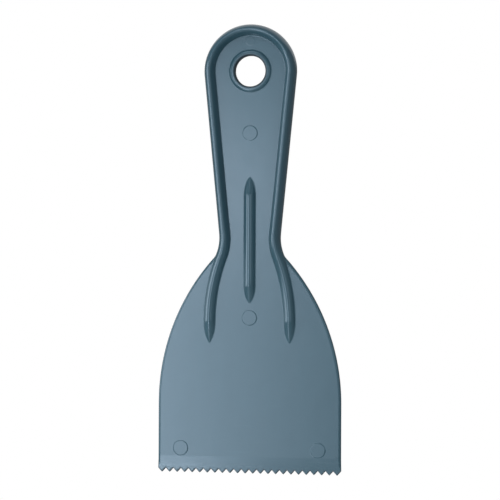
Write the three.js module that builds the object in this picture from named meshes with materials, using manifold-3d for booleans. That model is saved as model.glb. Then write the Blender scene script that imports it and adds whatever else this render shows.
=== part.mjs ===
// A three inch notched plastic spreader, moulded in one piece: a fan-shaped blade with a row of
// V notches, and a handle whose thin web is framed by a rounded rim. The two sides of the rim run
// on over the blade as ribs, and a third rib stands on the centre line.
//
// Millimetres. The handle points along +Z and the blade's front face looks along -Y, with the
// origin at the centre of the hanging hole, half way through the thickness.

import * as THREE from 'three';
import { mergeVertices } from 'three/addons/utils/BufferGeometryUtils.js';
import Module from 'manifold-3d';

// Blade
const INCH = 25.4;
const TOOTH_PITCH = INCH / 8;
const TOOTH_COUNT = 24;
const TOOTH_DEPTH = 1.7;
const BLADE_HALF_WIDTH = (TOOTH_PITCH * TOOTH_COUNT) / 2;
const TIP_Z = -165.4;
const PLATE_THICKNESS = 2.2;
const TIP_THICKNESS = 1.3;
const BEVEL_TOP_Z = TIP_Z + 6.9;
const SHOULDER_RADIUS = 89;
const SHOULDER_END_Z = -136.5;

// Handle
const HEAD_RADIUS = 19.25;
const HANDLE_TAPER = THREE.MathUtils.degToRad(5.57);
const NECK_Z = -68.7;
const NECK_RADIUS = 18;
const HANDLE_THICKNESS = 10;
const RIM_OUTER = 2.4;
const RIM_INNER = 2.25;

// Hanging hole and its collar
const HOLE_DIAMETER = INCH / 2;
const COLLAR_DIAMETER = 17.6;
const COLLAR_THICKNESS = 3.8;
const COLLAR_INNER_ROUND = 0.7;
const COLLAR_OUTER_ROUND = 1.35;

// Side ribs, which carry the rim on over the blade
const RIB_HALF_WIDTH = 2.4;
const RIB_THICKNESS = 6.4;
const RIB_SPLAY = THREE.MathUtils.degToRad(21);
const RIB_BEND_RADIUS = 75;
const RIB_TIP_Z = -111.6;
const RIM_FULL_Z = -58;
const RIB_LEVEL_Z = -86;

// Centre rib
const CENTRE_RIB_TOP_Z = -43.7;
const CENTRE_RIB_CREST_TOP_Z = -50.7;
const CENTRE_RIB_CREST_BOTTOM_Z = -88.5;
const CENTRE_RIB_BOTTOM_Z = -95.3;
const RIB_TIP_RISE = 0.06;

// Round marks that the mould's ejector pins leave on the front
const MARK_DIAMETER = INCH / 4;
const MARK_HEIGHT = 0.12;
const MARK_PLACES = [
  [0, -25.5],
  [0, -101.4],
  [-28.6, -155.3],
  [28.6, -155.3],
];

const SECTION_SIDES = 16;
const EMBED = 0.5;

const wasm = await Module();
wasm.setup();

const xAxis = new THREE.Vector3(1, 0, 0);
const yAxis = new THREE.Vector3(0, 1, 0);
const zAxis = new THREE.Vector3(0, 0, 1);

// Turns a shape's x and y into world X and Z, and its extrusion towards the front.
const facePlane = new THREE.Matrix4().makeBasis(xAxis, zAxis, yAxis.clone().negate());
// Turns a shape's x and y into world Y and Z, and its extrusion into world X.
const sidePlane = new THREE.Matrix4().makeBasis(yAxis, zAxis, xAxis);

function toSolid(geometry) {
  const bare = geometry.clone();
  bare.deleteAttribute('normal');
  bare.deleteAttribute('uv');
  const merged = mergeVertices(bare, 1e-5);
  return new wasm.Manifold(new wasm.Mesh({
    numProp: 3,
    vertProperties: new Float32Array(merged.attributes.position.array),
    triVerts: new Uint32Array(merged.index.array),
  }));
}

function toGeometry(solid) {
  const mesh = solid.getMesh();
  const geometry = new THREE.BufferGeometry();
  geometry.setAttribute('position', new THREE.BufferAttribute(mesh.vertProperties, 3));
  geometry.setIndex(new THREE.BufferAttribute(mesh.triVerts, 1));
  geometry.computeVertexNormals();
  return geometry;
}

// The line of the rim's crest on the right: round the head, down the tapered handle, round the
// neck, and out over the blade to the tip of the side rib.
const crestHeadRadius = HEAD_RADIUS - RIM_OUTER;
const crestNeckRadius = NECK_RADIUS + RIM_OUTER;
const headSide = new THREE.Vector2(Math.cos(HANDLE_TAPER), -Math.sin(HANDLE_TAPER));
const neckCentre = new THREE.Vector2(
  (HEAD_RADIUS + NECK_RADIUS + NECK_Z * headSide.y * -1) / headSide.x,
  NECK_Z,
);
const splaySide = new THREE.Vector2(Math.cos(RIB_SPLAY), Math.sin(RIB_SPLAY));
const bendCentre = neckCentre.clone().addScaledVector(splaySide, -(crestNeckRadius + RIB_BEND_RADIUS));
const handleSideEnd = neckCentre.clone().addScaledVector(headSide, -crestNeckRadius);
const ribX = bendCentre.x + RIB_BEND_RADIUS;

function arc(centre, radius, start, end, clockwise) {
  return new THREE.EllipseCurve(centre.x, centre.y, radius, radius, start, end, clockwise, 0);
}

const headArc = arc(new THREE.Vector2(), crestHeadRadius, Math.PI / 2, -HANDLE_TAPER, true);
const handleSide = new THREE.LineCurve(headSide.clone().multiplyScalar(crestHeadRadius), handleSideEnd);
const neckArc = arc(neckCentre, crestNeckRadius, Math.PI - HANDLE_TAPER, Math.PI + RIB_SPLAY, false);
const bendArc = arc(bendCentre, RIB_BEND_RADIUS, RIB_SPLAY, 0, true);
const ribEnd = new THREE.LineCurve(bendCentre.clone().setX(ribX), new THREE.Vector2(ribX, RIB_TIP_Z));

function blend(value, from, to) {
  return THREE.MathUtils.smoothstep(value, from, to);
}

// How wide a rib is near its end, as a share of its full width: 1 where the ramp starts, and 0 at
// the tip, with a pointed round nose between.
function nose(along) {
  return Math.sqrt(Math.max(0, 1 - along ** 1.5));
}

// Each station of a rib or rim has a place, a side direction, and the half widths and half
// height of its section there.
function rimStation(curve, t) {
  const place = curve.getPoint(t);
  const tangent = curve.getTangent(t);
  const lowering = 1 - blend(place.y, RIB_LEVEL_Z, RIM_FULL_Z);
  const ramp = Math.max(0, (bendCentre.y - place.y) / (bendCentre.y - RIB_TIP_Z));
  const width = nose(ramp);
  const fullHeight = THREE.MathUtils.lerp(HANDLE_THICKNESS, RIB_THICKNESS, lowering) / 2;
  return {
    place,
    side: new THREE.Vector2(-tangent.y, tangent.x),
    outer: THREE.MathUtils.lerp(RIM_OUTER, RIB_HALF_WIDTH, lowering) * width,
    inner: THREE.MathUtils.lerp(RIM_INNER, RIB_HALF_WIDTH, lowering) * width,
    height: THREE.MathUtils.lerp(fullHeight, PLATE_THICKNESS / 2 + RIB_TIP_RISE, ramp),
  };
}

function rightRimStations() {
  const stations = [];
  for (const [curve, steps] of [[headArc, 18], [handleSide, 8], [neckArc, 8], [bendArc, 9], [ribEnd, 7]]) {
    for (let i = 0; i < steps; i += 1) {
      stations.push(rimStation(curve, i / steps));
    }
  }
  const last = rimStation(ribEnd, 1);
  last.outer = 0.1;
  last.inner = 0.1;
  stations.push(last);
  return stations;
}

function mirrored(station) {
  return {
    ...station,
    place: new THREE.Vector2(-station.place.x, station.place.y),
    side: new THREE.Vector2(-station.side.x, station.side.y),
  };
}

// Joins oval sections along the stations into one closed body, on both faces at once.
function ribSolid(stations) {
  const points = [];
  const faces = [];
  for (const { place, side, outer, inner, height } of stations) {
    for (let i = 0; i < SECTION_SIDES; i += 1) {
      const angle = (i / SECTION_SIDES) * Math.PI * 2;
      const across = Math.sin(angle) * (Math.sin(angle) > 0 ? outer : inner);
      points.push(place.x + side.x * across, Math.cos(angle) * height, place.y + side.y * across);
    }
  }
  for (let s = 0; s < stations.length - 1; s += 1) {
    for (let i = 0; i < SECTION_SIDES; i += 1) {
      const a = s * SECTION_SIDES + i;
      const b = s * SECTION_SIDES + ((i + 1) % SECTION_SIDES);
      faces.push(a, b, a + SECTION_SIDES);
      faces.push(b, b + SECTION_SIDES, a + SECTION_SIDES);
    }
  }
  const lastRing = (stations.length - 1) * SECTION_SIDES;
  for (let i = 1; i < SECTION_SIDES - 1; i += 1) {
    faces.push(0, i + 1, i);
    faces.push(lastRing, lastRing + i, lastRing + i + 1);
  }
  const geometry = new THREE.BufferGeometry();
  geometry.setAttribute('position', new THREE.Float32BufferAttribute(points, 3));
  geometry.setIndex(faces);
  return toSolid(geometry);
}

function rim() {
  const right = rightRimStations();
  const left = right.slice(1).reverse().map(mirrored);
  return ribSolid([...left, ...right]);
}

function centreRib() {
  const rows = [];
  const ramps = [0.04, 0.25, 0.5, 0.75, 1];
  for (const along of [...ramps].reverse()) {
    rows.push([THREE.MathUtils.lerp(CENTRE_RIB_CREST_TOP_Z, CENTRE_RIB_TOP_Z, along), along]);
  }
  for (const along of ramps) {
    rows.push([THREE.MathUtils.lerp(CENTRE_RIB_CREST_BOTTOM_Z, CENTRE_RIB_BOTTOM_Z, along), along]);
  }
  return ribSolid(rows.map(([z, along]) => {
    const width = Math.max(0.1, RIB_HALF_WIDTH * nose(along));
    return {
      place: new THREE.Vector2(0, z),
      side: new THREE.Vector2(1, 0),
      outer: width,
      inner: width,
      height: THREE.MathUtils.lerp(RIB_THICKNESS / 2, PLATE_THICKNESS / 2 + RIB_TIP_RISE, along),
    };
  }));
}

// Half of the plate's outline, from the top of the head down the right side to the blade's
// corner. Along the handle it runs under the rim's crest.
function rightOutline() {
  const shoulderCentre = new THREE.Vector2(BLADE_HALF_WIDTH - SHOULDER_RADIUS, SHOULDER_END_Z);
  const apart = neckCentre.distanceTo(shoulderCentre);
  const towards = neckCentre.clone().sub(shoulderCentre).angle();
  const rise = Math.acos(
    (apart ** 2 + SHOULDER_RADIUS ** 2 - crestNeckRadius ** 2) / (2 * apart * SHOULDER_RADIUS),
  );
  const shoulderStart = towards + rise;
  const meeting = shoulderCentre.clone().add(
    new THREE.Vector2(Math.cos(shoulderStart), Math.sin(shoulderStart)).multiplyScalar(SHOULDER_RADIUS),
  );
  const neckEnd = meeting.clone().sub(neckCentre).angle();
  return [
    ...headArc.getPoints(24),
    ...arc(neckCentre, crestNeckRadius, Math.PI - HANDLE_TAPER, neckEnd, false).getPoints(6),
    ...arc(shoulderCentre, SHOULDER_RADIUS, shoulderStart, 0, true).getPoints(20).slice(1),
  ];
}

function notchedEdge() {
  const points = [];
  for (let i = 0; i < TOOTH_COUNT; i += 1) {
    const valleyX = BLADE_HALF_WIDTH - i * TOOTH_PITCH;
    points.push(new THREE.Vector2(valleyX, TIP_Z + TOOTH_DEPTH));
    points.push(new THREE.Vector2(valleyX - TOOTH_PITCH / 2, TIP_Z));
  }
  points.push(new THREE.Vector2(-BLADE_HALF_WIDTH, TIP_Z + TOOTH_DEPTH));
  return points;
}

function plate() {
  const right = rightOutline();
  const left = right.slice(1).reverse().map((point) => new THREE.Vector2(-point.x, point.y));
  const outline = new THREE.Shape([...right, ...notchedEdge(), ...left]);
  const geometry = new THREE.ExtrudeGeometry(outline, { depth: PLATE_THICKNESS, bevelEnabled: false });
  geometry.applyMatrix4(facePlane);
  geometry.translate(0, PLATE_THICKNESS / 2, 0);
  return toSolid(geometry);
}

// The wedge that is taken off one face above the teeth, where the blade thins to its edge.
function bevelWedge(face) {
  const faceY = (PLATE_THICKNESS / 2) * face;
  const tipY = (TIP_THICKNESS / 2) * face;
  const clearY = faceY + face;
  const wedge = new THREE.Shape([
    new THREE.Vector2(faceY, BEVEL_TOP_Z),
    new THREE.Vector2(clearY, BEVEL_TOP_Z),
    new THREE.Vector2(clearY, TIP_Z),
    new THREE.Vector2(tipY, TIP_Z),
  ]);
  const width = BLADE_HALF_WIDTH * 2 + 2;
  const geometry = new THREE.ExtrudeGeometry(wedge, { depth: width, bevelEnabled: false });
  geometry.translate(0, 0, -width / 2);
  geometry.applyMatrix4(sidePlane);
  return toSolid(geometry);
}

// A ring with rounded edges and a straight bore, which stands up round the hole on both faces.
function collar() {
  const ring = new THREE.Shape();
  const bore = HOLE_DIAMETER / 2;
  const outside = COLLAR_DIAMETER / 2;
  const top = COLLAR_THICKNESS / 2;
  const quarter = Math.PI / 2;
  ring.absarc(bore + COLLAR_INNER_ROUND, top - COLLAR_INNER_ROUND, COLLAR_INNER_ROUND, Math.PI, quarter, true);
  ring.absarc(outside - COLLAR_OUTER_ROUND, top - COLLAR_OUTER_ROUND, COLLAR_OUTER_ROUND, quarter, 0, true);
  ring.absarc(outside - COLLAR_OUTER_ROUND, COLLAR_OUTER_ROUND - top, COLLAR_OUTER_ROUND, 0, -quarter, true);
  ring.absarc(bore + COLLAR_INNER_ROUND, COLLAR_INNER_ROUND - top, COLLAR_INNER_ROUND, -quarter, -Math.PI, true);
  ring.closePath();
  const profile = ring.getPoints(5);
  return toSolid(new THREE.LatheGeometry(profile.reverse(), 48));
}

function disc(diameter, thickness, y, x, z) {
  const geometry = new THREE.CylinderGeometry(diameter / 2, diameter / 2, thickness, 32);
  geometry.translate(x, y, z);
  return toSolid(geometry);
}

function ejectorMark([x, z]) {
  const depth = MARK_HEIGHT + EMBED;
  const y = -PLATE_THICKNESS / 2 - MARK_HEIGHT + depth / 2;
  return disc(MARK_DIAMETER, depth, y, x, z);
}

function spreaderBody() {
  let body = plate()
    .subtract(bevelWedge(-1))
    .subtract(bevelWedge(1))
    .subtract(disc((COLLAR_DIAMETER + HOLE_DIAMETER) / 2, PLATE_THICKNESS * 2, 0, 0, 0))
    .add(collar())
    .add(rim())
    .add(centreRib());
  for (const place of MARK_PLACES) {
    body = body.add(ejectorMark(place));
  }
  return toGeometry(body);
}

const plastic = new THREE.MeshStandardMaterial({
  color: 0x6b8290,
  roughness: 0.45,
  metalness: 0,
  flatShading: true,
});

const body = new THREE.Mesh(spreaderBody(), plastic);
body.name = 'spreader_body';

const spreader = new THREE.Group();
spreader.add(body);

export default spreader;
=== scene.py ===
"""A three inch notched plastic spreader, one moulding of blue-grey satin plastic, built as one fine
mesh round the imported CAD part. Plan work is in millimetres in X and Z; the mesh is in metres."""

import math

import bpy
import numpy as np
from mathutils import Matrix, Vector
from mathutils.geometry import delaunay_2d_cdt


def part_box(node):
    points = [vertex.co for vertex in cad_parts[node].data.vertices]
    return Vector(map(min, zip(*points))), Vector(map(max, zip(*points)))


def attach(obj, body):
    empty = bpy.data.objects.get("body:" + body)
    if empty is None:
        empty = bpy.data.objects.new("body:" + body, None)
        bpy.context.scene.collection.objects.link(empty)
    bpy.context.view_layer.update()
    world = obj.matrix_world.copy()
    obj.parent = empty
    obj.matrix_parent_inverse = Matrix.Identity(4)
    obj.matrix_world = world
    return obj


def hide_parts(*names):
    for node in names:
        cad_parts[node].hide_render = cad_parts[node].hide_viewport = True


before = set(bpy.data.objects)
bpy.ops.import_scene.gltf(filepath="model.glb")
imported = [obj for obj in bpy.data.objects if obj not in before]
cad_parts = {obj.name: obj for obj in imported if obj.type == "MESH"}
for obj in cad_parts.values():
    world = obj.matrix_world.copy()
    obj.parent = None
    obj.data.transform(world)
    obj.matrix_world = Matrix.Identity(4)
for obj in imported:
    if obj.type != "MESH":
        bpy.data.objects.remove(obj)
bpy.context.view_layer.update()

MM = 0.001
INCH = 25.4

BOX_LOW, BOX_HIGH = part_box("spreader_body")

# Blade
BLADE_HALF_WIDTH = BOX_HIGH.x / MM
TIP_Z = BOX_LOW.z / MM
TOOTH_PITCH = INCH / 8
TOOTH_DEPTH = 1.7
TIP_ROUNDING = 0.12
PLATE_HALF = 1.1
TIP_HALF = 0.65
BEVEL_TOP_Z = TIP_Z + 6.9
BEVEL_SOFTNESS = 0.012
SHOULDER_RADIUS = 89.0
SHOULDER_END_Z = -136.5
TOOTH_EDGE = 0.1
EDGE_LAND = 0.05

# Handle
HEAD_RADIUS = BOX_HIGH.z / MM
TAPER = math.radians(5.57)
NECK_Z = -68.7
NECK_RADIUS = 18.0
RIM_HALF_HEIGHT = BOX_HIGH.y / MM
RIM_OUTER = 2.4
RIM_INNER = 2.25

# Hanging hole and its collar
HOLE_RADIUS = INCH / 4
COLLAR_RADIUS = 8.8
COLLAR_HALF_HEIGHT = 1.9
COLLAR_INNER_ROUND = 0.7
COLLAR_OUTER_ROUND = 1.35

# Ribs
RIB_HALF_WIDTH = 2.6
RIB_HALF_HEIGHT = 3.2
RIB_SPLAY = math.radians(21)
RIB_BEND_RADIUS = 75.0
RIB_TIP_Z = -111.6
RIM_FULL_Z = -58.0
RIB_LEVEL_Z = -86.0
RIB_SUNK_HALF = PLATE_HALF + 0.06
CENTRE_RIB = (-43.7, -50.7, -88.5, -95.3)

# Ejector-pin marks on the front: x, z, radius, height. The last one is only just visible.
MARKS = (
    (0.0, -25.5, 3.175, 0.12),
    (0.0, -101.4, 3.175, 0.12),
    (-28.6, -155.3, 3.175, 0.12),
    (28.6, -155.3, 3.175, 0.12),
    (0.0, 12.3, 2.0, 0.018),
)
MARK_EDGE = 0.3

# Sections: a rib is an oval with a crest tighter than an ellipse's (power 2)
ROOT_FILLET = 0.25
CREST_POWER = 1.75
LEAST_WIDTH = 0.02
FAR = 1e4

# How closely the mesh is sampled across and along a rib
NEAR_ROOT = (0.02, 0.08, 0.15, 0.23, 0.32)
ROOT_GUARD = 0.25
SECTION_ANGLES = (0, 9, 18, 27, 36, 45, 54, 62, 69, 75)
NOSE_RAMPS = (
    0.0, 0.06, 0.12, 0.19, 0.26, 0.33, 0.4, 0.47, 0.53, 0.58, 0.63, 0.67,
    0.71, 0.74, 0.765, 0.785, 0.81, 0.835, 0.86, 0.885, 0.905, 0.925, 0.945, 0.96,
)
CENTRE_RAMPS = (
    0.0, 0.03, 0.08, 0.14, 0.2, 0.27, 0.34, 0.41, 0.48, 0.54, 0.59, 0.64,
    0.68, 0.72, 0.75, 0.775, 0.8, 0.825, 0.85, 0.875, 0.9, 0.92, 0.94, 0.96,
)
LAST_RAMP = 0.98


def smooth(value, low, high):
    """A soft step from 0 to 1."""
    t = np.clip((value - low) / (high - low), 0.0, 1.0)
    return t * t * (3.0 - 2.0 * t)


def lerp(a, b, t):
    return a + (b - a) * t


# The crest line of the rim on the right: round the head, down the handle, round the neck, and
# out over the blade to the tip of the side rib.
HEAD_SIDE = np.array([math.cos(TAPER), -math.sin(TAPER)])
CREST_HEAD = HEAD_RADIUS - RIM_OUTER
CREST_NECK = NECK_RADIUS + RIM_OUTER
NECK = np.array([(HEAD_RADIUS + NECK_RADIUS - NECK_Z * HEAD_SIDE[1]) / HEAD_SIDE[0], NECK_Z])
SPLAY_SIDE = np.array([math.cos(RIB_SPLAY), math.sin(RIB_SPLAY)])
BEND = NECK - SPLAY_SIDE * (CREST_NECK + RIB_BEND_RADIUS)
RIB_X = BEND[0] + RIB_BEND_RADIUS
SHOULDER = np.array([BLADE_HALF_WIDTH - SHOULDER_RADIUS, SHOULDER_END_Z])


def arc_gap(x, z, centre, radius, low, high, outward):
    """Distance to an arc, which side of it the point is on, and the z of the nearest place."""
    middle = (low + high) / 2
    angle = np.arctan2(z - centre[1], x - centre[0]) - middle
    angle = np.clip((angle + math.pi) % (2 * math.pi) - math.pi + middle, low, high)
    px = centre[0] + radius * np.cos(angle)
    pz = centre[1] + radius * np.sin(angle)
    side = (x - px) * np.cos(angle) + (z - pz) * np.sin(angle)
    return np.hypot(x - px, z - pz), np.where(side * outward >= 0, 1.0, -1.0), pz


def line_gap(x, z, start, end, side):
    """The same for a straight stretch."""
    length = np.linalg.norm(end - start)
    along = (end - start) / length
    reach = np.clip((x - start[0]) * along[0] + (z - start[1]) * along[1], 0, length)
    px = start[0] + along[0] * reach
    pz = start[1] + along[1] * reach
    across = (x - px) * side[0] + (z - pz) * side[1]
    return np.hypot(x - px, z - pz), np.where(across >= 0, 1.0, -1.0), pz


def crest_gap(x, z):
    """Signed distance from the crest line, positive on its outer side, and the crest's z there."""
    ax = np.abs(x)
    bend_end, tip = np.array([RIB_X, BEND[1]]), np.array([RIB_X, RIB_TIP_Z])
    rows = [
        arc_gap(ax, z, np.zeros(2), CREST_HEAD, -TAPER, math.pi / 2, 1),
        line_gap(ax, z, HEAD_SIDE * CREST_HEAD, NECK - HEAD_SIDE * CREST_NECK, HEAD_SIDE),
        arc_gap(ax, z, NECK, CREST_NECK, math.pi - TAPER, math.pi + RIB_SPLAY, -1),
        arc_gap(ax, z, BEND, RIB_BEND_RADIUS, 0.0, RIB_SPLAY, 1),
        line_gap(ax, z, bend_end, tip, np.array([1.0, 0.0])),
    ]
    distance = np.stack([r[0] for r in rows])
    nearest = distance.argmin(0)[None]
    pick = [np.take_along_axis(np.stack([r[i] for r in rows]), nearest, 0)[0] for i in range(3)]
    return pick[0] * pick[1], pick[2]


def nose(ramp):
    """Share of a rib's full width that is left part of the way down its end ramp."""
    return np.sqrt(np.clip(1.0 - ramp**2, 0.0, 1.0))


def rim_size(crest_z):
    """Outer and inner half widths and the half height of the rim's oval section."""
    lowering = 1.0 - smooth(crest_z, RIB_LEVEL_Z, RIM_FULL_Z)
    ramp = np.clip((BEND[1] - crest_z) / (BEND[1] - RIB_TIP_Z), 0.0, 1.0)
    full = lerp(RIM_HALF_HEIGHT, RIB_HALF_HEIGHT, lowering)
    width = np.maximum(nose(ramp), LEAST_WIDTH)
    return (
        lerp(RIM_OUTER, RIB_HALF_WIDTH, lowering) * width,
        lerp(RIM_INNER, RIB_HALF_WIDTH, lowering) * width,
        lerp(full, RIB_SUNK_HALF, ramp),
    )


def centre_size(z):
    """Half width and half height of the centre rib."""
    top, crest_top, crest_bottom, bottom = CENTRE_RIB
    upper = (z - crest_top) / (top - crest_top)
    lower = (crest_bottom - z) / (crest_bottom - bottom)
    ramp = np.clip(np.maximum(upper, lower), 0.0, 1.0)
    width = RIB_HALF_WIDTH * np.maximum(nose(ramp), LEAST_WIDTH)
    return width, lerp(RIB_HALF_HEIGHT, RIB_SUNK_HALF, ramp)


def tooth_line(x):
    """Height of the notched edge at x."""
    reach = np.abs((np.abs(x) % TOOTH_PITCH) - TOOTH_PITCH / 2)
    rounded = np.sqrt(reach**2 + TIP_ROUNDING**2) - TIP_ROUNDING
    full = math.hypot(TOOTH_PITCH / 2, TIP_ROUNDING) - TIP_ROUNDING
    return TIP_Z + TOOTH_DEPTH * rounded / full


TOOTH_COS = math.cos(math.atan2(TOOTH_DEPTH, TOOTH_PITCH / 2))


def plate_inside(x, z):
    """How far inside the plate's outline a point is."""
    ax = np.abs(x)
    shoulder = SHOULDER_RADIUS - np.hypot(ax - SHOULDER[0], z - SHOULDER[1])
    side = np.where(z > SHOULDER_END_Z, shoulder, BLADE_HALF_WIDTH - ax)
    blade = np.minimum(side, (z - tooth_line(x)) * TOOTH_COS)
    handle = np.where(z > RIB_LEVEL_Z, -crest_gap(x, z)[0], -FAR)
    return np.maximum(blade, handle)


def plate_half(z):
    """Half thickness of the plate, which thins to its notched edge."""
    slope = (PLATE_HALF - TIP_HALF) / (BEVEL_TOP_Z - TIP_Z)
    ramp = TIP_HALF + slope * (z - TIP_Z)
    gap = ramp - PLATE_HALF
    return PLATE_HALF + 0.5 * (gap - np.sqrt(gap**2 + BEVEL_SOFTNESS**2))


def edge_radius(z):
    corner = smooth(z, TIP_Z + TOOTH_DEPTH, TIP_Z + TOOTH_DEPTH + 2.5)
    return lerp(TOOTH_EDGE, plate_half(z) - EDGE_LAND, corner)


def land(z):
    """Half height of the flat strip round the outline, where the mould parts."""
    return plate_half(z) - edge_radius(z)


def oval(across, half_width, height, half_height):
    """Distance from a rib's section, an oval with a tightened crest."""
    u = np.abs(across) / half_width
    v = np.abs(height) / half_height
    q = (u**CREST_POWER + v**CREST_POWER) ** (1.0 / CREST_POWER)
    slope = np.hypot(u ** (CREST_POWER - 1) / half_width, v ** (CREST_POWER - 1) / half_height)
    distance = (q - 1.0) * q ** (CREST_POWER - 1) / np.maximum(slope, 1e-9)
    return np.where(q < 1e-6, -np.minimum(half_width, half_height), distance)


def rounded_box(across, half_width, height, half_height, radius):
    """Distance from a box section with round corners."""
    side = np.abs(across) - half_width + radius
    rise = height - half_height + radius
    return (
        np.minimum(np.maximum(side, rise), 0.0)
        + np.hypot(np.maximum(side, 0.0), np.maximum(rise, 0.0))
        - radius
    )


def join(a, b, radius):
    """Union of two distances with a round fillet."""
    u = np.maximum(radius - a, 0.0)
    v = np.maximum(radius - b, 0.0)
    return np.maximum(radius, np.minimum(a, b)) - np.sqrt(u * u + v * v)


def body_distance(x, z, height):
    """Distance of a point from the moulding's surface, negative inside."""
    half, radius = plate_half(z), edge_radius(z)
    inside = plate_inside(x, z)
    plate = rounded_box(np.maximum(FAR - inside, 0.0), FAR, height, half, radius)
    hole = np.hypot(x, z)
    middle = (HOLE_RADIUS + COLLAR_RADIUS) / 2
    plate = np.where(hole < middle, height + 1.0, plate)
    gap, crest_z = crest_gap(x, z)
    outer, inner, rim_height = rim_size(crest_z)
    rim = oval(gap, np.where(gap > 0, outer, inner), height, rim_height)
    width, rib_height = centre_size(z)
    rib = np.where(rib_height > RIB_SUNK_HALF + 1e-6, oval(x, width, height, rib_height), FAR)
    across = hole - middle
    bend = np.where(across < 0, COLLAR_INNER_ROUND, COLLAR_OUTER_ROUND)
    collar = rounded_box(across, (COLLAR_RADIUS - HOLE_RADIUS) / 2, height, COLLAR_HALF_HEIGHT, bend)
    body = join(plate, rim, ROOT_FILLET)
    body = join(body, rib, ROOT_FILLET)
    return join(body, collar, ROOT_FILLET)


def surface_height(x, z):
    """Half thickness of the moulding at each point, without the ejector marks."""
    low = np.zeros_like(x)
    high = np.full_like(x, RIM_HALF_HEIGHT + 0.5)
    for _ in range(34):
        mid = (low + high) / 2
        inside = body_distance(x, z, mid) < 0
        low = np.where(inside, mid, low)
        high = np.where(inside, high, mid)
    return (low + high) / 2


def mark_height(x, z):
    total = np.zeros_like(x)
    for mx, mz, radius, height in MARKS:
        total += height * (1.0 - smooth(np.hypot(x - mx, z - mz), radius - MARK_EDGE, radius))
    return total


def crest_stations():
    """Places and outward directions along the crest line, closer together where it turns."""
    rows = []

    def arc(centre, radius, start, end, step, outward):
        count = max(2, int(math.ceil(abs(end - start) * radius / step)))
        for a in np.linspace(start, end, count, endpoint=False):
            side = np.array([math.cos(a), math.sin(a)])
            rows.append((centre + side * radius, side * outward))

    def line(start, end, side, step):
        count = max(2, int(math.ceil(np.linalg.norm(end - start) / step)))
        for t in np.linspace(0, 1, count, endpoint=False):
            rows.append((start + (end - start) * t, side))

    arc(np.zeros(2), CREST_HEAD, math.pi / 2, -TAPER, 0.7, 1)
    line(HEAD_SIDE * CREST_HEAD, NECK - HEAD_SIDE * CREST_NECK, HEAD_SIDE, 1.6)
    arc(NECK, CREST_NECK, math.pi - TAPER, math.pi + RIB_SPLAY, 0.45, -1)
    arc(BEND, RIB_BEND_RADIUS, RIB_SPLAY, 0.0, 0.7, 1)
    for ramp in NOSE_RAMPS:
        rows.append((np.array([RIB_X, lerp(BEND[1], RIB_TIP_Z, ramp)]), np.array([1.0, 0.0])))
    places = np.array([r[0] for r in rows])
    sides = np.array([r[1] for r in rows])
    return places, sides


def oval_rows(half_width, half_height, floor, guard):
    """Distances across a rib at which its section is sampled, from the crest to past its root."""
    rise = max(1e-4, 1.0 - (floor / half_height) ** CREST_POWER)
    root = half_width * rise ** (1.0 / CREST_POWER)
    rows = list(np.sin(np.radians(SECTION_ANGLES)) * root)
    rows.append(root * 0.985)
    rows += [root + step for step in NEAR_ROOT]
    rows.append(root + NEAR_ROOT[-1] + guard)
    return np.array(rows)


class Plan:
    """Points and lines in the plan of the right half, which become the mesh's edges."""

    TOLERANCE = 0.03

    def __init__(self):
        self.points = []
        self.edges = set()
        self.cells = {}

    def point(self, x, z):
        """The number of the point here, which is a new one if none is near."""
        x = 0.0 if abs(x) < 1e-6 else float(x)
        cx, cz = int(math.floor(x / self.TOLERANCE)), int(math.floor(z / self.TOLERANCE))
        for i in (cx - 1, cx, cx + 1):
            for j in (cz - 1, cz, cz + 1):
                for k in self.cells.get((i, j), ()):
                    if math.hypot(self.points[k][0] - x, self.points[k][1] - z) < self.TOLERANCE:
                        return k
        self.points.append((x, float(z)))
        self.cells.setdefault((cx, cz), []).append(len(self.points) - 1)
        return len(self.points) - 1

    def row(self, points):
        """Joins the points with edges. Points left of the middle are dropped."""
        last = None
        for x, z in points:
            if x < -1e-9:
                last = None
                continue
            here = self.point(x, z)
            if last is not None and here != last:
                self.edges.add((min(last, here), max(last, here)))
            last = here

    def fill(self, spacing, keep_clear):
        """Adds even points in the open areas."""
        have = np.array(self.points)
        xs = np.arange(spacing / 2, BLADE_HALF_WIDTH, spacing)
        zs = np.arange(TIP_Z, HEAD_RADIUS, spacing)
        grid = np.array([(x + (i % 2) * spacing / 2, z) for i, z in enumerate(zs) for x in xs])
        for part in np.array_split(grid, 40):
            near = np.sqrt(((part[:, None] - have[None]) ** 2).sum(2)).min(1)
            for x, z in part[near > keep_clear]:
                self.point(x, z)


def polyline_inside(points, outline):
    """Which points lie in a closed outline."""
    inside = np.zeros(len(points), bool)
    ends = np.roll(outline, -1, axis=0)
    for (x1, z1), (x2, z2) in zip(outline, ends):
        if z1 == z2:
            continue
        crosses = (z1 > points[:, 1]) != (z2 > points[:, 1])
        at = x1 + (points[:, 1] - z1) * (x2 - x1) / (z2 - z1)
        inside ^= crosses & (points[:, 0] < at)
    return inside


def first_exit(places, sides, reach):
    """How far each ray from a place runs before it leaves the moulding at mid-thickness."""
    steps = np.arange(0.0, reach, 0.02)
    x = places[:, :1] + sides[:, :1] * steps
    z = places[:, 1:] + sides[:, 1:] * steps
    out = body_distance(x.ravel(), z.ravel(), np.zeros(x.size)).reshape(x.shape) > 0
    found = np.where(out.any(1), steps[out.argmax(1)], reach)
    low, high = np.maximum(found - 0.02, 0), found
    for _ in range(20):
        mid = (low + high) / 2
        px, pz = places[:, 0] + sides[:, 0] * mid, places[:, 1] + sides[:, 1] * mid
        inside = body_distance(px, pz, np.zeros_like(px)) < 0
        low, high = np.where(inside, mid, low), np.where(inside, high, mid)
    return np.where(found >= reach, reach, (low + high) / 2)


OPEN_REACH = 3.45
WALL_SHARES = (
    0, 0.1, 0.2, 0.3, 0.4, 0.5, 0.59, 0.67, 0.74, 0.8, 0.85, 0.89, 0.92, 0.95, 0.975, 0.992, 1.0,
)
EDGE_CLEAR = 1.4


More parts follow.
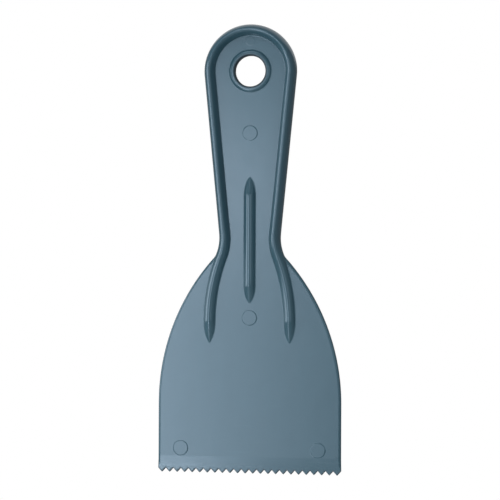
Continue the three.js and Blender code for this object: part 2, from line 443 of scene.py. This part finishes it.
def guard_tip(plan, x, z, way):
    """Small rings of points round a rib's tip, so that its shading ends there."""
    for radius in (0.15, 0.3, 0.5, 0.9):
        for turn in np.radians([-105, -75, -45, -15, 15, 45, 75, 105]):
            px = x + radius * math.sin(turn)
            if px >= 0:
                plan.point(px, z + way * radius * math.cos(turn))
        plan.point(x, z + way * radius)


def build_plan():
    """The plan of the right half, and its outline from the head round to the middle tooth."""
    plan = Plan()
    places, sides = crest_stations()
    outs = first_exit(places, sides, OPEN_REACH)
    closed = outs < OPEN_REACH - 1e-6
    closed[int(np.argmin(closed)):] = False
    inner_rows, outer_rows, silhouette = [], [], []
    near_shares = np.array(WALL_SHARES)
    for place, side, out, shut in zip(places, sides, outs, closed):
        outer, inner, height = (float(v) for v in rim_size(np.array(place[1])))
        inner_rows.append([place - side * v for v in oval_rows(inner, height, PLATE_HALF, ROOT_GUARD)])
        if shut:
            outer_rows.append([place + side * v for v in near_shares * out])
            silhouette.append(place + side * out)
        else:
            outer_rows.append([place + side * v for v in oval_rows(outer, height, PLATE_HALF, ROOT_GUARD)])
    for k in range(len(inner_rows[0])):
        plan.row([r[k] for r in inner_rows])
    for k in range(len(near_shares)):
        plan.row([r[k] for r, shut in zip(outer_rows, closed) if shut])
        plan.row([r[k] for r, shut in zip(outer_rows, closed) if not shut])
    plan.point(RIB_X, lerp(BEND[1], RIB_TIP_Z, LAST_RAMP))
    guard_tip(plan, RIB_X, RIB_TIP_Z, -1)

    # The blade's outline on the right, from the neck to the corner, and rows along it.
    start = silhouette[-1]
    first = math.atan2(start[1] - SHOULDER[1], start[0] - SHOULDER[0])
    count = int(first * SHOULDER_RADIUS / 1.0)
    angles = np.linspace(first, 0.0, count)[1:]
    edge = [SHOULDER + SHOULDER_RADIUS * np.array([math.cos(a), math.sin(a)]) for a in angles]
    inward = [-np.array([math.cos(a), math.sin(a)]) for a in angles]
    corner_z = float(tooth_line(np.array(BLADE_HALF_WIDTH)))
    straight = np.arange(SHOULDER_END_Z - 1.5, corner_z + 3.5, -1.5)
    for z in [*straight, *np.linspace(corner_z + 3.2, corner_z, 14)]:
        edge.append(np.array([BLADE_HALF_WIDTH, z]))
        inward.append(np.array([-1.0, 0.0]))
    edge, inward = np.array(edge), np.array(inward)
    shares = 1.0 - np.sin(np.radians([90, 80, 70, 60, 50, 40, 30, 20, 10, 0]))
    widths = [*shares, 1.13, EDGE_CLEAR]
    steps = np.arange(0.0, 1.6, 0.02)
    gap = np.array([
        crest_gap(p[0] + d[0] * steps, p[1] + d[1] * steps)[0] for p, d in zip(edge, inward)
    ])
    near_rib = gap < 3.3
    free = np.where(near_rib.any(1), steps[near_rib.argmax(1)], EDGE_CLEAR)
    free = np.where(edge[:, 1] < -95.0, EDGE_CLEAR, np.minimum(free, EDGE_CLEAR))
    for w in widths[1:]:
        share = w / widths[-1]
        inner = [p + d * share * f for p, d, f in zip(edge, inward, free) if f > 0.12]
        plan.row([p for p in inner if p[1] > tooth_line(np.array(p[0])) + 0.02])

    # The notched edge, from the corner to the middle.
    offsets = [0.0, 0.05, 0.12, 0.25, 0.5, 0.85, 1.2, TOOTH_PITCH / 2]
    xs = set()
    for i in range(13):
        tip = BLADE_HALF_WIDTH - (i + 0.5) * TOOTH_PITCH
        xs.update(round(tip + s * o, 6) for o in offsets for s in (-1, 1))
    xs = np.array(sorted((x for x in xs if -1e-6 <= x <= BLADE_HALF_WIDTH + 1e-6), reverse=True))
    xs[-1] = 0.0
    teeth = [np.array([x, z]) for x, z in zip(xs, tooth_line(xs))]
    for w in (0.015, 0.04, 0.07, TOOTH_EDGE, 0.3):
        lift = w / TOOTH_COS
        plan.row([p + (0, lift) for p in teeth if BLADE_HALF_WIDTH - p[0] > w])
    for step in (-0.25, -0.1, 0, 0.1, 0.25):
        plan.row([(x, BEVEL_TOP_Z + step) for x in np.linspace(0, BLADE_HALF_WIDTH - EDGE_CLEAR, 24)])

    outline = [*silhouette, *edge, *teeth]
    plan.row(outline)

    # Centre rib
    top, crest_top, crest_bottom, bottom = CENTRE_RIB
    ramps = np.array(CENTRE_RAMPS)
    level = np.linspace(crest_top, crest_bottom, 22)[1:-1]
    zs = [*lerp(crest_top, top, ramps[::-1]), *level, *lerp(crest_bottom, bottom, ramps)]
    rib_rows = []
    for z in zs:
        width, height = (float(v) for v in centre_size(np.array(z)))
        rib_rows.append([(v, z) for v in oval_rows(width, height, PLATE_HALF, ROOT_GUARD)])
    for k in range(len(rib_rows[0])):
        plan.row([r[k] for r in rib_rows])
    plan.point(0, lerp(crest_top, top, LAST_RAMP))
    plan.point(0, lerp(crest_bottom, bottom, LAST_RAMP))
    guard_tip(plan, 0.0, top, 1)
    guard_tip(plan, 0.0, bottom, -1)

    # Hole and collar
    turn = np.linspace(math.pi / 2, -math.pi / 2, 61)
    circle = np.stack([np.cos(turn), np.sin(turn)], 1)
    quarter = np.sin(np.radians([0, 10, 20, 30, 40, 50, 60, 70, 80, 90]))
    rings = list(HOLE_RADIUS + COLLAR_INNER_ROUND * (1.0 - quarter[::-1]))
    rings += list(COLLAR_RADIUS - COLLAR_OUTER_ROUND * (1.0 - quarter[:-1]))
    rings += [COLLAR_RADIUS + a for a in (-0.02, *NEAR_ROOT, NEAR_ROOT[-1] + ROOT_GUARD)]
    for radius in rings:
        plan.row(circle * radius)

    # Ejector marks
    for mx, mz, radius, _ in MARKS:
        if mx < 0:
            continue
        half, whole = np.linspace(math.pi / 2, -math.pi / 2, 33), np.linspace(0, 2 * math.pi, 65)
        turns = half if mx == 0 else whole
        ring = np.stack([np.cos(turns), np.sin(turns)], 1)
        slope = [radius - MARK_EDGE * share for share in (1.0, 0.67, 0.33)]
        for r in (0.6 * radius, radius - MARK_EDGE - 0.1, *slope, radius, radius + 0.1):
            plan.row(ring * r + (mx, mz))
        plan.point(mx, mz)

    plan.fill(3.0, 1.6)
    hole_top = plan.point(0, HOLE_RADIUS)
    hole_bottom = plan.point(0, -HOLE_RADIUS)
    plan.edges.add((plan.point(*outline[0]), hole_top))
    plan.edges.add((hole_bottom, plan.point(*outline[-1])))
    return plan, np.array(outline)


def triangulate(plan, outline):
    """Points and triangles of the plan, inside its outline and outside the hole."""
    vertices, _, faces, _, _, _ = delaunay_2d_cdt(
        [Vector(p) for p in plan.points], sorted(plan.edges), [], 0, 1e-5, False
    )
    vertices = np.array([(v[0], v[1]) for v in vertices])
    faces = np.array(faces)
    closed = np.vstack([outline, [(0.0, outline[0][1])]])
    centre = vertices[faces].mean(1)
    keep = polyline_inside(centre, closed) & (np.hypot(centre[:, 0], centre[:, 1]) > HOLE_RADIUS - 0.003)
    a, b, c = (vertices[faces[:, i]] for i in range(3))
    area = (b[:, 0] - a[:, 0]) * (c[:, 1] - a[:, 1]) - (b[:, 1] - a[:, 1]) * (c[:, 0] - a[:, 0])
    keep &= np.abs(area) > 1e-9
    faces[area < 0] = faces[area < 0][:, ::-1]
    faces = faces[keep]
    used, faces = np.unique(faces, return_inverse=True)
    return vertices[used], faces.reshape(-1, 3)


def build_body():
    """The whole moulding: the plan mirrored, lifted to both faces, with a wall round each edge."""
    plan, outline = build_plan()
    half_points, half_faces = triangulate(plan, outline)
    count = len(half_points)
    on_axis = np.abs(half_points[:, 0]) < 1e-6
    mirror_index = np.where(on_axis, np.arange(count), 0)
    off = np.flatnonzero(~on_axis)
    mirror_index[off] = count + np.arange(len(off))
    points = np.vstack([half_points, half_points[off] * (-1, 1)])
    faces = np.vstack([half_faces, mirror_index[half_faces][:, ::-1]])

    directed = np.vstack([faces[:, [0, 1]], faces[:, [1, 2]], faces[:, [2, 0]]])
    pairs = set(map(tuple, directed))
    rim_edges = np.array([e for e in directed if (e[1], e[0]) not in pairs])
    on_rim = np.zeros(len(points), bool)
    on_rim[rim_edges.ravel()] = True

    x, z = points[:, 0], points[:, 1]
    height = surface_height(x, z)
    bore = np.hypot(x, z) < HOLE_RADIUS + 0.01
    edge = np.where(bore, COLLAR_HALF_HEIGHT - COLLAR_INNER_ROUND, land(z))
    height = np.where(on_rim, edge, np.maximum(height, land(z)))
    total = len(points)
    front = np.stack([x, -(height + np.where(on_rim, 0.0, mark_height(x, z))), z], 1)
    back = np.stack([x, height, z], 1)
    rim_points = np.flatnonzero(on_rim)
    slot = np.full(total, -1)
    slot[rim_points] = np.arange(len(rim_points))
    inset = np.maximum(height[rim_points] - 0.04, height[rim_points] * 0.4)
    wall_front = np.stack([x[rim_points], -inset, z[rim_points]], 1)
    wall_back = wall_front * (1, -1, 1)
    everything = np.vstack([front, back, wall_front, wall_back]) * MM
    start = 2 * total
    quads = []
    for i, j in rim_edges:
        fi, fj, bi, bj = i, j, total + i, total + j
        wi, wj = start + slot[i], start + slot[j]
        vi, vj = wi + len(rim_points), wj + len(rim_points)
        quads += [(fj, fi, wi, wj), (wj, wi, vi, vj), (vj, vi, bi, bj)]
    triangles = [tuple(f) for f in faces] + [tuple(f[::-1] + total) for f in faces]
    mesh = bpy.data.meshes.new("spreader_moulding")
    faces = [tuple(int(k) for k in f) for f in triangles + quads]
    mesh.from_pydata([tuple(p) for p in everything], [], faces)
    mesh.polygons.foreach_set("use_smooth", [True] * len(mesh.polygons))
    mesh.update()
    body = bpy.data.objects.new("spreader_moulding", mesh)
    bpy.context.scene.collection.objects.link(body)
    return body


CAMERA_AZIMUTH = math.radians(10.0)
CAMERA_ROLL = 0.0041
CAMERA_DISTANCE = 0.80
CAMERA_TARGET = Vector((0.0, 0.0, -0.07352))
CAMERA_LENS = 140.08


def make_camera():
    """The photo's view: from the front, a little to the right."""
    camera = bpy.data.objects.new("camera", bpy.data.cameras.new("camera"))
    bpy.context.scene.collection.objects.link(camera)
    camera.data.sensor_width = 36.0
    camera.data.lens = CAMERA_LENS
    camera.data.clip_start = 0.05
    camera.data.clip_end = 50.0
    back = Vector((math.sin(CAMERA_AZIMUTH), -math.cos(CAMERA_AZIMUTH), 0.0))
    camera.location = CAMERA_TARGET + back * CAMERA_DISTANCE
    camera.rotation_euler = (-back).to_track_quat("-Z", "Y").to_euler()
    camera.rotation_euler.rotate_axis("Z", CAMERA_ROLL)
    bpy.context.scene.camera = camera


class Nodes:
    """Adds nodes to a tree and links them."""

    def __init__(self, tree):
        self.tree = tree
        self.tree.nodes.clear()

    def add(self, kind, inputs=None, **settings):
        node = self.tree.nodes.new(kind)
        for name, value in settings.items():
            setattr(node, name, value)
        for name, value in (inputs or {}).items():
            socket = node.inputs[name]
            if isinstance(value, bpy.types.NodeSocket):
                self.tree.links.new(value, socket)
            else:
                socket.default_value = value
        return node

    def math(self, operation, a, b=0.0):
        return self.add("ShaderNodeMath", {0: a, 1: b}, operation=operation).outputs[0]

    def times(self, a, b):
        return self.math("MULTIPLY", a, b)

    def noise(self, vector, scale, detail=2.0, roughness=0.5):
        inputs = {"Vector": vector, "Scale": scale, "Detail": detail, "Roughness": roughness}
        return self.add("ShaderNodeTexNoise", inputs).outputs["Fac"]

    def spread(self, value, low, high, out_low, out_high):
        inputs = {"Value": value, "From Min": low, "From Max": high}
        inputs.update({"To Min": out_low, "To Max": out_high})
        return self.add("ShaderNodeMapRange", inputs).outputs[0]

    def mix(self, factor, a, b):
        node = self.add("ShaderNodeMix", data_type="RGBA")
        for socket, value in ((node.inputs[0], factor), (node.inputs[6], a), (node.inputs[7], b)):
            if isinstance(value, bpy.types.NodeSocket):
                self.tree.links.new(value, socket)
            else:
                socket.default_value = value
        return node.outputs[2]


PLASTIC_DEEP = (0.029, 0.070, 0.094, 1)
PLASTIC_PALE = (0.032, 0.077, 0.103, 1)
PLASTIC_WORN = (0.060, 0.110, 0.140, 1)
PLASTIC_GRIPPED = (0.028, 0.068, 0.092, 1)
# Colour of the painted shade on the teeth's walls and outline and in the bore of the hole.
PLASTIC_PAINTED_SHADE = (0.006, 0.012, 0.014, 1)
PLASTIC_SHEEN = (0.67, 0.82, 1.0, 1)
SHEEN_LEVEL = 0.62
ROUGH_LOW = 0.205
ROUGH_HIGH = 0.24


def make_plastic():
    """Satin moulded plastic: mottle, flow streaks, a fine grain, wear on the blade, and painted shade."""
    material = bpy.data.materials.new("moulded_plastic")
    material.use_nodes = True
    n = Nodes(material.node_tree)
    place = n.add("ShaderNodeTexCoord").outputs["Object"]
    axes = n.add("ShaderNodeSeparateXYZ", {0: place}).outputs
    stretched = n.add("ShaderNodeMapping", {"Vector": place, "Scale": (1.0, 1.0, 0.09)}).outputs[0]

    cloud = n.noise(place, 26.0, 3.0)
    mottle = n.noise(place, 230.0, 4.0)
    streak = n.noise(stretched, 260.0, 3.0, 0.6)
    grain = n.noise(place, 2600.0, 2.0)
    scuff_lines = n.add("ShaderNodeMapping", {
        "Vector": place,
        "Rotation": (0.0, math.radians(24.0), 0.0),
        "Scale": (0.05, 1.0, 1.0),
    }).outputs[0]
    scuff = n.spread(n.noise(scuff_lines, 900.0, 2.0), 0.62, 0.74, 0.0, 1.0)

    # Wear: the tips of the teeth, and less so the blade above them.
    from_tip = n.math("SUBTRACT", axes[2], TIP_Z * MM)
    tip_wear = n.spread(from_tip, 0.0, 2.2 * MM, 1.0, 0.0)
    tip_wear = n.times(tip_wear, n.spread(n.noise(place, 700.0, 3.0), 0.35, 0.65, 0.25, 1.0))
    blade_wear = n.spread(from_tip, 4.0 * MM, 60.0 * MM, 1.0, 0.0)
    blade_wear = n.times(blade_wear, scuff)

    # The crest of the rim and the ribs, which hands rub smooth.
    lift = n.math("ABSOLUTE", axes[1])
    gripped = n.spread(lift, 2.4 * MM, 3.2 * MM, 0.0, 1.0)

    # Painted shade: darker colour on the walls between the teeth, along the teeth's outline and more so on
    # their right, and in the bore of the hanging hole, where shade falls.
    low = n.spread(from_tip, 1.75 * MM, 2.3 * MM, 1.0, 0.0)
    notch = n.times(low, n.spread(lift, 0.5 * MM, 0.62 * MM, 1.0, 0.0))
    reach = n.math("SQRT", n.math("ADD", n.times(axes[0], axes[0]), n.times(axes[2], axes[2])))
    bore = n.spread(reach, (HOLE_RADIUS + 0.3) * MM, (HOLE_RADIUS + 1.1) * MM, 1.0, 0.0)
    to_first_tip = (BLADE_HALF_WIDTH + TOOTH_PITCH / 2) * MM
    pitches = n.math("DIVIDE", n.math("ADD", axes[0], to_first_tip), TOOTH_PITCH * MM)
    flank = n.times(n.math("PINGPONG", pitches, 0.5), 2.0 * TOOTH_DEPTH * MM)
    outline = n.spread(n.math("SUBTRACT", from_tip, flank), 0.25 * MM, 0.85 * MM, 1.0, 0.0)
    outline = n.times(outline, n.spread(n.math("FRACT", pitches), 0.45, 0.55, 0.95, 0.45))
    painted_shade = n.math("MAXIMUM", n.math("MAXIMUM", notch, outline), bore)

    shade = n.math("ADD", n.times(cloud, 0.5), n.times(mottle, 0.25))
    shade = n.math("ADD", shade, n.times(streak, 0.25))
    colour = n.mix(n.spread(shade, 0.3, 0.7, 0.0, 1.0), PLASTIC_DEEP, PLASTIC_PALE)
    colour = n.mix(n.times(gripped, 0.5), colour, PLASTIC_GRIPPED)
    colour = n.mix(n.times(blade_wear, 0.10), colour, PLASTIC_WORN)
    colour = n.mix(n.times(tip_wear, 0.12), colour, PLASTIC_WORN)
    # Painted shade: darkens the teeth's walls and outline and the bore.
    colour = n.mix(n.times(painted_shade, 0.9), colour, PLASTIC_PAINTED_SHADE)

    uneven = n.math("ADD", n.times(mottle, 0.6), n.times(streak, 0.4))
    rough = n.spread(uneven, 0.25, 0.75, ROUGH_LOW, ROUGH_HIGH)
    rough = n.math("SUBTRACT", rough, n.times(gripped, 0.05))
    rough = n.math("ADD", rough, n.times(blade_wear, 0.05))
    rough = n.math("ADD", rough, n.times(tip_wear, 0.08))
    # Rougher where the shade is painted.
    rough = n.math("ADD", rough, n.times(painted_shade, 0.4))

    waves = n.add("ShaderNodeBump", {
        "Strength": 1.0,
        "Distance": 0.035 * MM,
        "Height": n.noise(place, 110.0, 2.0),
    }).outputs[0]
    normal = n.add("ShaderNodeBump", {
        "Strength": 1.0,
        "Distance": 0.0035 * MM,
        "Height": grain,
        "Normal": waves,
    }).outputs[0]
    shader = n.add("ShaderNodeBsdfPrincipled", {
        "Base Color": colour,
        "Roughness": rough,
        "IOR": 1.5,
        "Specular IOR Level": SHEEN_LEVEL,
        "Specular Tint": PLASTIC_SHEEN,
        "Normal": normal,
    })
    n.add("ShaderNodeOutputMaterial", {"Surface": shader.outputs[0]})
    return material


FLOOR_Z = TIP_Z * MM - 0.1
FLOOR_RADIUS = 0.4
FLOOR_CLEAR = 0.22
FLOOR_GONE = 0.36


def make_floor():
    """A pale floor, low enough to leave the low lamps free, which fades out round its edge."""
    mesh = bpy.data.meshes.new("floor")
    turns = np.linspace(0, 2 * math.pi, 96, endpoint=False)
    ring = [(FLOOR_RADIUS * math.cos(a), FLOOR_RADIUS * math.sin(a), FLOOR_Z) for a in turns]
    mesh.from_pydata(ring, [], [list(range(len(ring)))])
    floor = bpy.data.objects.new("floor", mesh)
    bpy.context.scene.collection.objects.link(floor)
    material = bpy.data.materials.new("pale_floor")
    material.use_nodes = True
    n = Nodes(material.node_tree)
    place = n.add("ShaderNodeTexCoord").outputs["Object"]
    flatten = {0: place, 1: (1.0, 1.0, 0.0)}
    level = n.add("ShaderNodeVectorMath", flatten, operation="MULTIPLY").outputs[0]
    away = n.add("ShaderNodeVectorMath", {0: level}, operation="LENGTH").outputs["Value"]
    fade = n.add("ShaderNodeMapRange", {
        "Value": away, "From Min": FLOOR_CLEAR, "From Max": FLOOR_GONE, "To Min": 0.0, "To Max": 1.0,
    }, interpolation_type="SMOOTHSTEP").outputs[0]
    matt = n.add("ShaderNodeBsdfDiffuse", {"Color": (0.86, 0.86, 0.85, 1.0)}).outputs[0]
    clear = n.add("ShaderNodeBsdfTransparent").outputs[0]
    mixed = n.add("ShaderNodeMixShader", {0: fade, 1: matt, 2: clear}).outputs[0]
    n.add("ShaderNodeOutputMaterial", {"Surface": mixed})
    mesh.materials.append(material)


LIGHT_TARGET = Vector((0.0, 0.0, -0.0737))
ROOM_FRONT = 0.36
ROOM_BACK = 0.2

# The key light is three upright strips side by side, each twice as bright as the one on its right.
KEY_AZIMUTHS = (-4, -12, -20)
KEY_ELEVATION = -4
KEY_WATTS = 0.13


def softbox(name, azimuth, elevation, width, height, watts, distance=0.5):
    """An area light turned to the spreader's middle. Azimuth 0 is in front, + to the right."""
    lamp = bpy.data.objects.new(name, bpy.data.lights.new(name, "AREA"))
    bpy.context.scene.collection.objects.link(lamp)
    lamp.data.shape = "RECTANGLE"
    lamp.data.size = width
    lamp.data.size_y = height
    lamp.data.energy = watts
    lamp.visible_camera = False
    turn, rise = math.radians(azimuth), math.radians(elevation)
    way = Vector((math.sin(turn) * math.cos(rise), -math.cos(turn) * math.cos(rise), math.sin(rise)))
    lamp.location = LIGHT_TARGET + way * distance
    lamp.rotation_euler = (-way).to_track_quat("-Z", "Y").to_euler()


def make_world():
    """A dim room round the spreader, dimmer behind it; the camera sees plain white."""
    world = bpy.data.worlds.new("studio")
    bpy.context.scene.world = world
    world.use_nodes = True
    n = Nodes(world.node_tree)
    way = n.add("ShaderNodeTexCoord").outputs["Generated"]
    depth = n.add("ShaderNodeSeparateXYZ", {0: way}).outputs[1]
    level = n.add("ShaderNodeMapRange", {
        "Value": depth, "From Min": -0.1, "From Max": 0.7, "To Min": ROOM_FRONT, "To Max": ROOM_BACK,
    }, interpolation_type="SMOOTHSTEP").outputs[0]
    room = n.add("ShaderNodeBackground", {"Color": (1, 1, 1, 1), "Strength": level}).outputs[0]
    white = n.add("ShaderNodeBackground", {"Color": (1, 1, 1, 1), "Strength": 1.0}).outputs[0]
    seen = n.add("ShaderNodeLightPath").outputs["Is Camera Ray"]
    mixed = n.add("ShaderNodeMixShader", {0: seen, 1: room, 2: white}).outputs[0]
    n.add("ShaderNodeOutputWorld", {"Surface": mixed})


make_camera()
spreader = build_body()
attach(spreader, "root")
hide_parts("spreader_body")
spreader.data.materials.append(make_plastic())

make_floor()
make_world()
for step, azimuth in enumerate(KEY_AZIMUTHS):
    softbox("key_%d" % (step + 1), azimuth, KEY_ELEVATION, 0.07, 0.35, KEY_WATTS * 2 ** step)
softbox("side", -48, 0, 0.20, 0.30, 0.28)
softbox("far_side", -75, 5, 0.25, 0.30, 1.1)
softbox("right_fill", 40, 8, 0.25, 0.30, 0.28)
softbox("top", -15, 50, 0.30, 0.20, 0.5)
softbox("middle", -12, 4, 0.07, 0.07, 0.06)
softbox("low_left", -19, -27, 0.08, 0.05, 0.25)
softbox("back", 180, 50, 0.80, 0.60, 1.0)
bpy.context.scene.view_settings.view_transform = "Standard"
